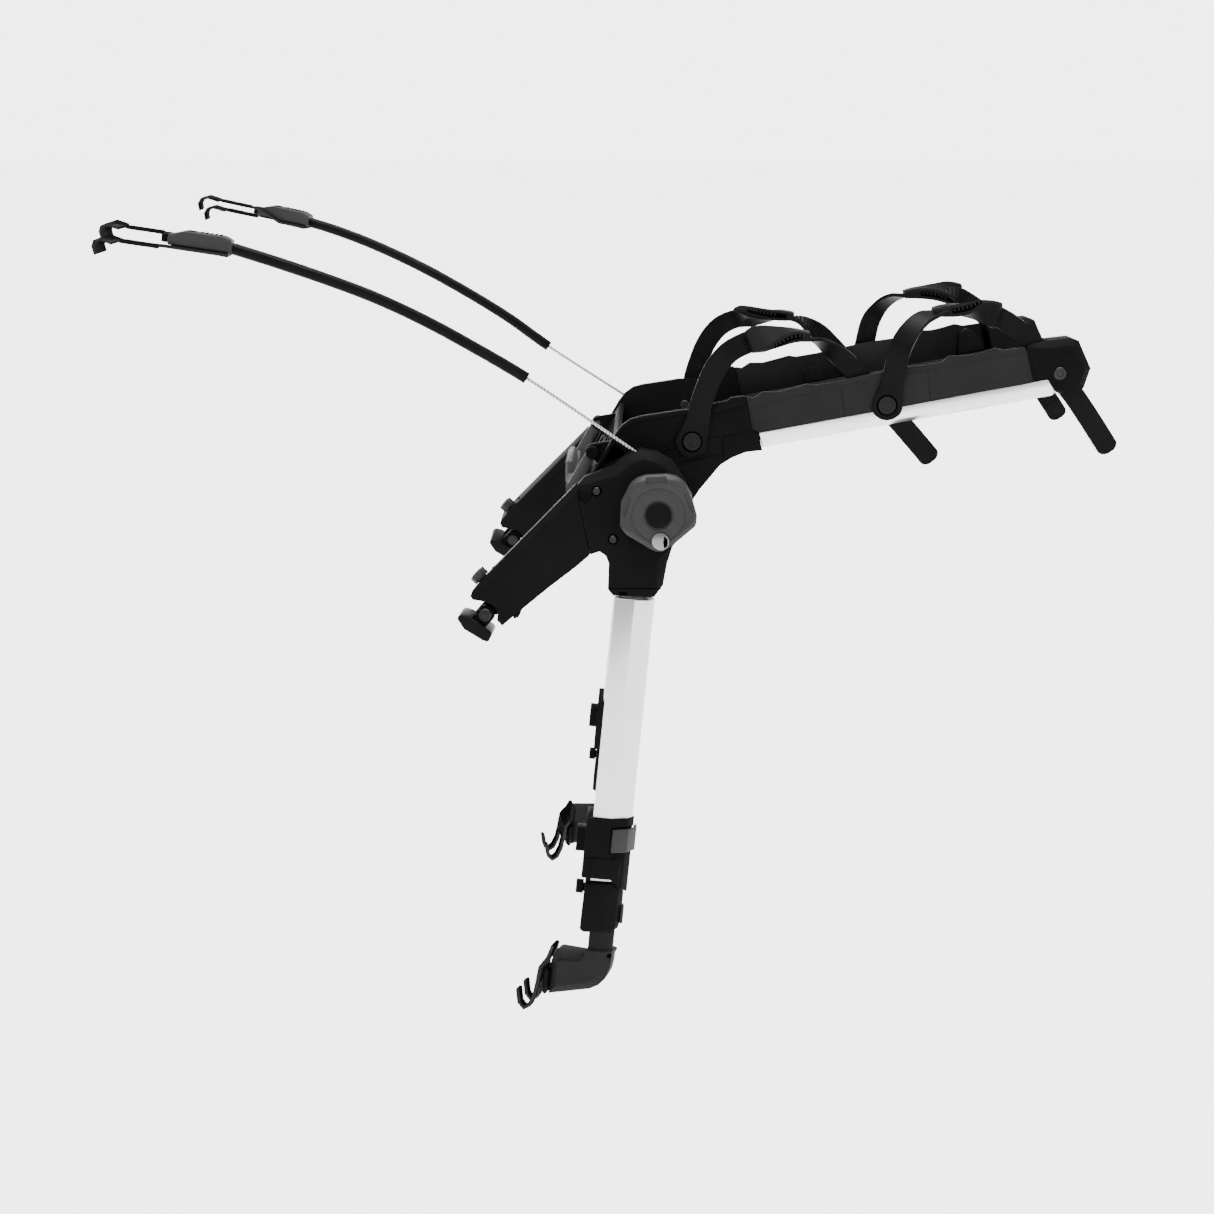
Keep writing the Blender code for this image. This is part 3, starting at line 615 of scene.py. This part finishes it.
refined_both("housing", 1.4, 3)
refined_both("leg", 1.2, 3)
refined_both("leg_knob", 0.6)
refined_both("foot_bracket", 0.6)
refined_both("foot_pad", 3.0, 3)
refined_both("foot_screw", 0.5)
refined_both("knob_lock", 0.6)
refined_both("pillar", 0.8)
refined_both("inner_tube", 0.5)
refined_both("lower_collar", 1.0)
refined_both("release_button", 0.6)
refined_both("cup", 1.6, 3)
refined_both("clamp_knob", 0.4)
refined_both("lower_foot", 1.5, 3)
refined_both("foot_cap", 0.7)
refined_both("foot_hook", 0.7)
refined_both("arm_cover", 0.8)
refined_both("arm_rail", 0.6, 2, "rail")
refined_both("end_cap", 1.4, 3)
refined_both("cable_buckle", 0.9)
refined_both("cable_hook", 0.5)
refined("arm_bracket", 0.9)
refined("hub_axle", 0.6)
refined("release_handle", 1.0)

# ---------------------------------------------------------------- tension knobs

KNOB_FACE = 50.0
NOTCHES = 5
NOTCH_START = 94
GROOVES = ((25.2, 26.0, 0.5), (13.0, 14.0, 1.0))
for side, tag in SIDES:
    node = f"tension_knob_{tag}"
    knob = tidy_faces(frame["nodes"][node].data.copy())
    knob.transform(FRAME[side].inverted())
    tools = [ring(inner, outer, KNOB_FACE - deep, KNOB_FACE + 2, (0, 0)) for inner, outer, deep in GROOVES]
    for k in range(NOTCHES):
        notch = rounded(box((30, KNOB_FACE - 2.4, -10), (45, KNOB_FACE + 4, 10)), 1.0, 2)
        notch.transform(Matrix.Rotation(radians(-(NOTCH_START + 360 * k / NOTCHES)), 4, "Y"))
        tools.append(notch)
    knob = rounded(cut(knob, *tools), 0.5, 2, 30)
    shown = piece(f"{node}_look", knob, "grey_plastic", f"{node}_body", FRAME[side])
    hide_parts(node)
HUB_PROFILE = [(0, KNOB_FACE - 1), (12.6, KNOB_FACE - 1), (12.6, KNOB_FACE + 0.8), (11.6, KNOB_FACE + 1.6)]
HUB_PROFILE += [(10.2, KNOB_FACE + 1.6), (9.6, KNOB_FACE + 1.1), (0, KNOB_FACE + 0.9)]
both("knob_hub", turned(HUB_PROFILE, (0, 0)), "black_plastic", "tension_knob_{}_body", FRAME)
# The key hole is a near-black plate: painted shade in the hole.
key_hole = [(5.6, -32), (4.6, -26), (5.6, -20), (8.6, -22.5), (9.2, -26), (8.6, -29.5)]
key_hole = plate(key_hole, KNOB_FACE + 1.2, KNOB_FACE + 1.65, 0.1)
both("key_hole", key_hole, "painted_shade", "knob_lock_{}_body", FRAME)

# ---------------------------------------------------------------- housings and legs

FACE = 24.0
for name, centre in (("upper", (-60, 21)), ("lower", (-44, -26))):
    # Screw wells are near-black discs: painted shade in the wells.
    well = turned([(0, FACE - 1), (5.2, FACE - 1), (5.2, FACE + 0.1), (0, FACE + 0.1)], centre)
    on_side(f"housing_screw_well_{name}", well, "painted_shade")
    on_side(f"housing_screw_{name}", screw_head(3.7, FACE, 1.4, centre), "bolt")
lip = strip([(-45, 39.5), (-37, 43.5), (-24, 47.2), (-16, 48.8)], 3.2)
on_side("cable_pocket_lip", plate(lip, 11.5, 17.5, 0.8))
on_side("cable_socket", rounded(rod(3.8, (-10, 5, 46), (-10, 17.5, 46)), 0.9))
# Seam and slot are near-black strips: painted shade in them.
seam = strip([(-47.8, -74.2), (-20, -74.2), (3.4, -74.2)], 0.9)
on_side("neck_seam", flat_solid([seam], FACE - 0.4, FACE + 0.06), "painted_shade")
neck_slot = strip([(-38, -79), (-30, -79)], 3.2)
on_side("neck_slot", flat_solid([neck_slot], FACE - 0.4, FACE + 0.08), "painted_shade")
LEG_TILT = radians(-47.4)
LEG_UP = Vector((sin(LEG_TILT), 0, cos(LEG_TILT)))
KNOB_ROOT = Vector((-173.5, 0, -67.6))
neck = rod(5.4, KNOB_ROOT - LEG_UP * 4, KNOB_ROOT - LEG_UP * 0.1)
on_side("leg_knob_neck", neck)
knob_top = rounded(rod(6.2, KNOB_ROOT + LEG_UP * 7, KNOB_ROOT + LEG_UP * 8.7), 0.8)
both("leg_knob_top", knob_top, "grey_plastic", "leg_knob_{}_body", FRAME)
on_side("leg_nub", rounded(rod(2.0, (-161.5, 0, -58), (-163, 0, -56.2)), 0.5))
toe_clip = [(-143, -104), (-142, -107), (-137.5, -105.5), (-134.5, -99.5), (-137, -96)]
on_side("leg_clip", plate(toe_clip, -8, 8, 0.8))
BOLT = (-169.0, -101.0)
bolt_face = [(0, 23), (6.2, 23), (6.2, 24.6), (5.6, 25.2), (4.6, 25.2)]
bolt_face += [(4.4, 24.4), (2.6, 24.4), (2.2, 23.4), (0, 23.4)]
on_side("foot_bolt_face", turned(bolt_face, BOLT), "bolt")
for i, (x, z) in enumerate(((-178.5, -99), (-174.6, -94.2))):
    rib = [(x - 1, z - 3), (x + 0.8, z - 3), (x + 2.1, z + 2.2), (x + 0.6, z + 2.8)]
    both(f"bracket_rib_{i + 1}", plate(rib, 18, 21.5, 0.4), "dark_plastic", "foot_{}_body", FRAME)

# ---------------------------------------------------------------- lower parts

panel = [(-72, -345), (-38.8, -345.8), (-35.8, -349), (-37.6, -367.4), (-74, -364.4)]
on_side("collar_panel", plate(panel, 25.2, 27.2, 0.8))
cup_tab = rounded(box((16.8, -5, -417), (19.8, 9, -399.5)), 0.9)
both("cup_tab", cup_tab, "grey_plastic", "lower_leg_{}", PILLAR)
clamp_link = rounded(box((-24, -3.2, -389), (-15.6, 3.2, -381)), 0.8)
both("clamp_link", clamp_link, "black_plastic", "lower_leg_{}", PILLAR)
TREADS = 5
TREAD_PITCH = 5
for i in range(TREADS):
    base = -497.5 + TREAD_PITCH * i
    tread = rounded(box((-54.0, -15.5, base), (-52.6, 15.5, base + 2.5)), 0.4)
    both(f"foot_tread_{i + 1}", tread, "rubber", "hatch_foot_{}", FOOT)
# The slot in the elbow is a near-black box: painted shade in it.
elbow_slot = rounded(box((5.5, -17, -452), (12.9, 13.0, -448.6)), 0.5)
both("elbow_slot", elbow_slot, "painted_shade", "hatch_foot_{}", FOOT)

# ---------------------------------------------------------------- folding arms

WALL = 138.0
SUNK = 0.2


def on_wall(stem, outline, height, edge, look="black_plastic", sunk=SUNK):
    """A raised plate on the outer walls of the arms."""
    return on_arms(stem, plate(outline, WALL - sunk, WALL + height, edge), look)


window = [(-54.4, 39), (-47, 55.4), (-42, 57.4), (-32.6, 48.2), (-33.6, 45.6), (-52, 37.1)]
# A near-black sheet behind the through window: painted shade where the opening shows.
on_arms("window_shade_sheet", flat_solid([window], 129.5, 131), "painted_shade")
rim = [(-70.5, 17.5), (-61.5, 33), (-41.8, 66.5), (-35.6, 74), (-27, 80), (-17, 83), (24, 89.8), (46, 89.8)]
on_wall("bracket_rim", strip(rim, 3.8), 1.3, 0.5)
pocket = [(-42, 53), (-39.5, 66), (-35, 70.6), (-25, 73), (22, 81.6)]
on_wall("bracket_crease", strip(pocket, 1.6), 0.7, 0.3)
end_collar = [(66, 41.5), (64, 62), (66.5, 65.5), (93, 72.2), (99.4, 69)]
end_collar += [(103.4, 52.6), (87, 50.4), (73, 44.4)]
on_wall("bracket_collar", end_collar, 1.5, 0.6)
step = [(50, 88.2), (51, 93.4), (67, 100.2), (71, 103.4), (83, 105.2)]
step += [(86, 102.8), (84.6, 97), (73, 94), (62, 90.4)]
on_wall("bracket_step", step, 1.3, 0.5)
RIB_LINES = (
    ([(2, 50), (8, 54), (19, 55), (49, 62), (63.5, 64.5)], 2.4),
    ([(21, 38), (45, 43), (64, 47.2)], 1.2),
)
for i, (line, width) in enumerate(RIB_LINES):
    on_wall(f"bracket_rib_line_{i + 1}", strip(line, width), 0.9, 0.4)
INNER_WALL = 98
inner_screw = screw_head(5.0, 0, 1.4, (30, 67))
inner_screw.transform(Matrix.Translation((0, INNER_WALL * MM, 0)) @ Matrix.Scale(-1, 4, (0, 1, 0)))
inner_screw.flip_normals()
on_arms("socket_screw", inner_screw, "bolt")
PANELS = (
    [(90.6, 93), (175, 115.3), (180, 116.3), (185.2, 86.5), (101, 70.6), (95, 73.8)],
    [(180.6, 116.4), (215, 122), (265.3, 132.2), (270.1, 102.5), (185.9, 86.6)],
    [(265.9, 132.3), (311, 141), (362, 149), (369.4, 121.2), (270.8, 102.6)],
)
for i, outline in enumerate(PANELS):
    on_wall(f"cover_panel_{i + 1}", outline, 0.6, 0.3, "dark_plastic", 0.3)
cap_panel = [(366.5, 147.5), (405, 150.5), (418.5, 131), (411.5, 113.5)]
cap_panel += [(399, 111.5), (388, 127), (372.5, 124.5)]
on_wall("cap_panel", cap_panel, 0.8, 0.5)
on_arms("cap_screw", screw_head(6.4, WALL + 0.4, 1.8, (396.5, 129.5)), "bolt")
guides = (
    ("front", [(163, 86.2), (163, 101), (170, 108), (178, 110), (184, 104), (187, 90.6)]),
    ("rear", [(333, 118), (333, 146), (341, 151), (352, 146), (360, 136), (361, 123.4)]),
)
for name, outline in guides:
    on_arms(f"strap_guide_{name}", plate(outline, 104, 122, 1.0))
# Near-black sheets in the gaps at the arm joints: painted shade in the gaps.
shade_sheets = (
    ("bracket", [(87.3, 104.4), (93.2, 74), (99.6, 69.8), (101.4, 62)], 4, 130.5, 136.6),
    ("cap", [(363.4, 150.8), (371, 123)], 5, 100, 136.6),
)
for name, line, width, low, high in shade_sheets:
    on_arms(f"{name}_joint_backing", flat_solid([strip(line, width)], low, high), "painted_shade")
RIDGES = 5
RIDGE_PITCH = 4.4
for i in range(RIDGES):
    base = 5 + RIDGE_PITCH * i
    ridge = rounded(box((-97.4, -46, base), (-94.6, 46, base + 2.2)), 0.5)
    piece(f"handle_ridge_{i + 1}", ridge, "light_grey_plastic", "release_lever")
cap = turned([(0, 116.2), (6.6, 116.2), (6.6, 118.4), (5.8, 119.4), (0, 119.4)], (-67, 46))
both("handle_pin_cap", cap, "black_plastic", "release_lever", MIDDLE)

# ---------------------------------------------------------------- straps and their buckles

STRAP_THICK = 4


def flat_strap(rows):
    return [(*row, STRAP_THICK) for row in rows]


STRAP_FRONT = flat_strap([
    (29, 140.8, 46, 180, 30), (33, 140.8, 61, 180, 30), (39, 141, 82, 180, 24),
    (42.5, 141.5, 100, 180, 22), (53.5, 141.5, 129.5, 180, 22), (67.5, 140.5, 148.5, 176, 22),
    (84, 138, 158, 160, 22), (100, 128, 161.5, 118, 25), (115, 119, 162, 94, 27),
    (148, 118, 161, 90, 22), (165, 121, 155, 55, 21), (180, 124, 144.5, 22, 21), (191, 126, 134, 0, 21),
    (204, 126, 120.5, 0, 21), (228, 126, 94, 0, 21), (252, 126, 67.5, 0, 21), (276, 126, 40, 0, 21),
])
STRAP_REAR = flat_strap([
    (226, 140.8, 83, 180, 30), (227, 140.8, 98, 180, 30), (230.5, 141, 118, 180, 23),
    (233, 141.5, 131.5, 180, 22), (238.5, 141.5, 156, 165, 22), (249.5, 137, 174, 138, 22),
    (262, 129, 184, 114, 23), (276, 121, 187.5, 92, 27), (300, 118, 190, 90, 27),
    (311, 118, 190.5, 87, 27), (323, 120, 189, 60, 24), (337, 122, 183.5, 25, 21),
    (356, 125, 170.5, 5, 21), (374, 126, 154, 0, 21), (394, 126, 130, 0, 21), (414, 126, 106, 0, 21),
    (434, 126, 78, 0, 21), (453, 126, 50, 0, 21),
])
CASING_FRONT = [
    (88, 140, 159.8, 168, 22, 8), (94, 137, 161.5, 148, 26, 8.5), (103, 129, 163, 126, 30, 10),
    (118, 121.5, 164.4, 104, 33, 11.5), (134, 118, 165, 92, 32, 11.5), (150, 118, 164, 90, 29, 8.5),
]
CASING_REAR = [
    (272, 118, 188, 90, 24, 8), (284, 118, 189.6, 90, 29, 11), (300, 118.5, 190.2, 85, 32, 12.5),
    (315, 122, 189.4, 68, 31, 11.5), (327, 129, 187.6, 38, 28, 9), (334.5, 133.5, 185.5, 14, 26, 8),
]
TOOTHED = {"front": (24, 60), "rear": (17, 51)}
BUTTONS = {"front": (33.5, 61.0), "rear": (226.5, 98.0)}
LADDER_START = {"front": 131, "rear": 150}
RIBS = {"front": (30, 74), "rear": (28, 74)}
BUTTON_PLANE = 142.8
LADDER_PITCH = 4.5
LADDER_LIFT = 2.3
LADDER_RUNG = (2.2, 15, 1.6)
END_MARGIN = 15


def button_dish():
    dish = [(0, -1), (8.7, -1), (8.7, 0.8), (7.9, 1.4), (6.6, 1.3), (5.4, 0.6), (4.6, 0.9), (0, 1.0)]
    return [(radius, BUTTON_PLANE + out) for radius, out in dish]


def build_strap(name, stations):
    strap = swept(resampled(stations, 0, None, 3.0, 15, 8))
    for made, (side, tag) in zip(on_arms(f"strap_{name}_look", strap, "rubber", 40), SIDES):
        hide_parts(f"strap_{name}_{tag}")
    reach = reach_of(stations) - END_MARGIN
    ladder = cross_ribs(stations, LADDER_LIFT, LADDER_RUNG, LADDER_START[name], reach, LADDER_PITCH)
    on_arms(f"strap_ladder_{name}", ladder, "rubber")
    start, end = RIBS[name]
    rows = resampled(stations, start, end, 3.2)
    raised = [(*row[:4], 17 - 9 * i / 14, 2.0) for i, row in enumerate(rows)]
    on_arms(f"strap_rib_{name}", swept(raised, -1.8, 0.5), "rubber")


def build_shell(name, casing):
    """Shell of a hinged strap buckle, with a toothed slot along each edge."""
    body = f"buckle_{name}_{{}}_body"
    shell = swept(resampled(casing, 0, None, 2.5, 2, 2), 0.0, 2.0)
    for made, (side, tag) in zip(both(f"buckle_{name}_shell", shell, "buckle", body, MIDDLE, 40), SIDES):
        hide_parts(f"buckle_{name}_{tag}")
    first, last = TOOTHED[name]
    for cheek, edge in (("outer", 1), ("inner", -1)):
        # Each slot is a near-black bar: painted shade along the slot.
        slot = swept(along_edge(casing, first, last, edge, -0.4, 5.0), 0.0, 0.2)
        both(f"buckle_slot_{name}_{cheek}", slot, "painted_shade", body, MIDDLE)
        line = along_edge(casing, first + 2, last - 2, edge, 0.1, 3.0)
        teeth = cross_ribs(line, 0.9, (1.7, 1.4, 2.4), 0.5, last - first - 6, 4.2)
        both(f"buckle_teeth_{name}_{cheek}", teeth, "dark_plastic", body, MIDDLE)


def build_button(name):
    centre = BUTTONS[name]
    # The gap round the button is a near-black ring: painted shade in the gap.
    gap = ring(8.8, 10.4, BUTTON_PLANE - 0.6, BUTTON_PLANE + 0.5, centre)
    on_arms(f"strap_button_ring_{name}", gap, "painted_shade")
    on_arms(f"strap_button_{name}", turned(button_dish(), centre), "dark_plastic")


for name, stations, casing in (("front", STRAP_FRONT, CASING_FRONT), ("rear", STRAP_REAR, CASING_REAR)):
    build_strap(name, stations)
    build_shell(name, casing)
    build_button(name)

# ---------------------------------------------------------------- cable buckles

BUCKLES = {side: buckle_frame(side) for side, tag in SIDES}
RIBS_ON_TOP = 5
RIB_PITCH = 4.4
top_ribs = [
    box((-12.4 - RIB_PITCH * k, -8, 8.3), (-11.2 - RIB_PITCH * k, 8, 9.5)) for k in range(RIBS_ON_TOP)
]
both("buckle_ribs", gathered(top_ribs), "dark_plastic", "side_frames", BUCKLES)
BUCKLE_DETAILS = (
    # The buckle window is a near-black box: painted shade in it.
    ("buckle_window", rounded(box((-43.5, -6, 6), (-34.5, 6, 9.1)), 0.3), "painted_shade"),
    ("cable_boot", rounded(rod(5.3, (-3, 0, -1.6), (5, 0, -2.6)), 0.8), "cable_coat"),
    ("buckle_link", rounded(box((-66, -6.4, -4.6), (-58.5, 6.4, 3.4)), 0.8), "black_plastic"),
    ("buckle_base", rounded(box((-56, -12.8, -6.6), (-2, 12.8, -5.0)), 0.5), "black_plastic"),
)
for name, mesh, look in BUCKLE_DETAILS:
    both(name, mesh, look, "side_frames", BUCKLES)
# Name, side of the buckle (1 outer, -1 inner), lowest and highest level in the buckle's own frame.
GRIPS = (("outer", 1, -11.0, -6.7), ("inner", -1, 0.9, 4.8))
GRIP_RUN = (-102, -66)
GRIP_WIDTH = (12.1, 17.6)
for side, tag in SIDES:
    for name, outward, low, high in GRIPS:
        near, far = sorted(side * outward * reach for reach in GRIP_WIDTH)
        grip = rounded(box((GRIP_RUN[0], near, low), (GRIP_RUN[1], far, high)), 0.9)
        piece(f"hook_grip_{name}_{tag}", grip, "black_plastic", "side_frames", BUCKLES[side])

# ---------------------------------------------------------------- stage

FLOOR_Z = -2.5
FLOOR_REACH = 300
OVERHEAD_POWER = 12
OVERHEAD_SPREAD = 60
SKY_STRENGTH = 4.7


def stage_object(name, data, matrix):
    obj = new_object(name, data)
    obj.matrix_world = matrix
    return obj


floor_mesh = bpy.data.meshes.new("floor")
corners = [(x * FLOOR_REACH, y * FLOOR_REACH, FLOOR_Z) for x, y in ((-1, -1), (1, -1), (1, 1), (-1, 1))]
floor_mesh.from_pydata(corners, [], [(0, 1, 2, 3)])
floor_material, floor_tree, floor_shader = shader_nodes("floor_look", (0.9, 0.9, 0.9), 0.9)
floor_stops = [(0.3, (0.955, 0.955, 0.955)), (0.7, (0.975, 0.975, 0.975))]
tone = ramp(floor_tree, noise(floor_tree, 3, 2), floor_stops)
floor_tree.links.new(tone, floor_shader.inputs["Base Color"])
floor_mesh.materials.append(floor_material)
stage_object("floor", floor_mesh, Matrix.Identity(4))


def area_light(name, place, target, size, power):
    data = bpy.data.lights.new(name, "AREA")
    data.shape = "RECTANGLE"
    data.size = size[0]
    data.size_y = size[1]
    data.energy = power
    aim = (Vector(target) - Vector(place)).to_track_quat("-Z", "Y").to_matrix().to_4x4()
    stage_object(name, data, Matrix.Translation(place) @ aim)


area_light("key", (-1.6, -2.2, 2.4), (0, 0, 0), (1.8, 1.8), 45)
area_light("fill", (2.4, -2.0, 1.0), (0, 0, 0), (1.6, 2.0), 20)
area_light("rim", (1.6, 2.2, 1.4), (0, 0, 0), (1.6, 1.6), 20)
overhead = bpy.data.lights.new("overhead", "SUN")
overhead.energy = OVERHEAD_POWER
overhead.angle = radians(OVERHEAD_SPREAD)
stage_object("overhead", overhead, Matrix.Identity(4))
world = bpy.data.worlds.new("world")
world.use_nodes = True
world_tree = world.node_tree
backdrop = world_tree.nodes["Background"]
backdrop.inputs["Strength"].default_value = SKY_STRENGTH
# Bright only near the horizon, so that black plastic stays dark.
sky_place = world_tree.nodes.new("ShaderNodeTexCoord")
sky_parts = world_tree.nodes.new("ShaderNodeSeparateXYZ")
world_tree.links.new(sky_place.outputs["Generated"], sky_parts.inputs["Vector"])
sky_stops = [(0.09, (1, 1, 1)), (0.18, (0.13, 0.13, 0.13)), (1.0, (0.19, 0.19, 0.19))]
world_tree.links.new(ramp(world_tree, sky_parts.outputs["Z"], sky_stops), backdrop.inputs["Color"])
bpy.context.scene.world = world
